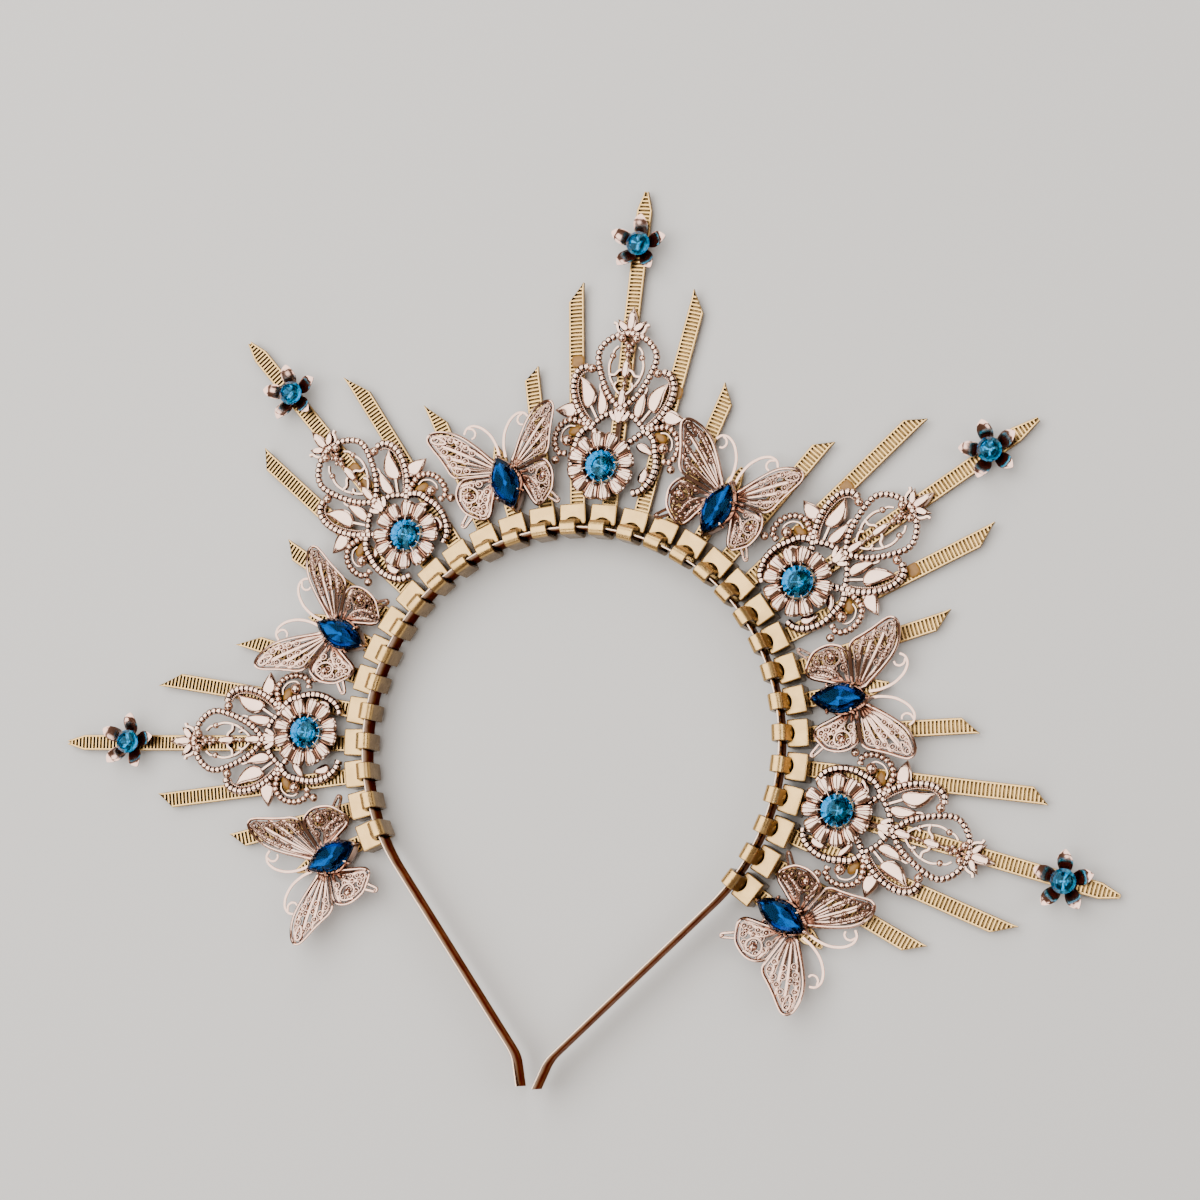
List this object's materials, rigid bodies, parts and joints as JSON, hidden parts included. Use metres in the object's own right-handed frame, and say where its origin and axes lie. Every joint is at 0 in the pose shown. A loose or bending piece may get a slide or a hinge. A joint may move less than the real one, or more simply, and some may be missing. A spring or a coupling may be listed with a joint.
{
  "type": "halo crown",
  "caption": "Halo crown: a metal hair band with gold-painted cable ties fanned out as rays, pierced flower plates, butterflies and blue cut stones.",
  "frame": {"origin": "bottom centre of the crown's box, on the surface that its back rests on", "axes": "+Z is the crown's front, +Y its top, +X its right-hand side as it is looked at"},
  "size_m": [0.3088, 0.2516, 0.0126],
  "materials": {
    "band": "rose-gold plated steel strip, bright edges",
    "tie": "nylon sprayed with champagne-gold metallic paint",
    "casting": "cast zinc plated in bright rose gold",
    "flower": "stamped brass plated in dark rose gold, with a glass stone",
    "round_stone": "foil-backed faceted teal glass",
    "navette": "foil-backed faceted deep blue glass"
  },
  "bodies": {
    "root": {"hoop_band": "band", "cable_tie_01": "tie", "cable_tie_02": "tie", "cable_tie_03": "tie", "cable_tie_04": "tie", "cable_tie_05": "tie", "cable_tie_06": "tie", "cable_tie_07": "tie", "cable_tie_08": "tie", "cable_tie_09": "tie", "cable_tie_10": "tie", "cable_tie_11": "tie", "cable_tie_12": "tie", "cable_tie_13": "tie", "cable_tie_14": "tie", "cable_tie_15": "tie", "cable_tie_16": "tie", "cable_tie_17": "tie", "cable_tie_18": "tie", "cable_tie_19": "tie", "cable_tie_20": "tie", "cable_tie_21": "tie", "cable_tie_22": "tie", "cable_tie_23": "tie", "cable_tie_24": "tie", "cable_tie_25": "tie", "cable_tie_26": "tie", "cable_tie_27": "tie", "cable_tie_28": "tie", "cable_tie_29": "tie", "cable_tie_30": "tie", "cable_tie_31": "tie", "filigree_plate_1": "casting", "filigree_plate_2": "casting", "filigree_plate_3": "casting", "filigree_plate_4": "casting", "filigree_plate_5": "casting", "round_stone_1": "round_stone", "round_stone_2": "round_stone", "round_stone_3": "round_stone", "round_stone_4": "round_stone", "round_stone_5": "round_stone", "small_flower_1": "flower", "small_flower_2": "flower", "small_flower_3": "flower", "small_flower_4": "flower", "small_flower_5": "flower", "butterfly_1": "casting", "butterfly_2": "casting", "butterfly_3": "casting", "butterfly_4": "casting", "butterfly_5": "casting", "butterfly_6": "casting", "navette_stone_1": "navette", "navette_stone_2": "navette", "navette_stone_3": "navette", "navette_stone_4": "navette", "navette_stone_5": "navette", "navette_stone_6": "navette"}
  },
  "joints": []
}
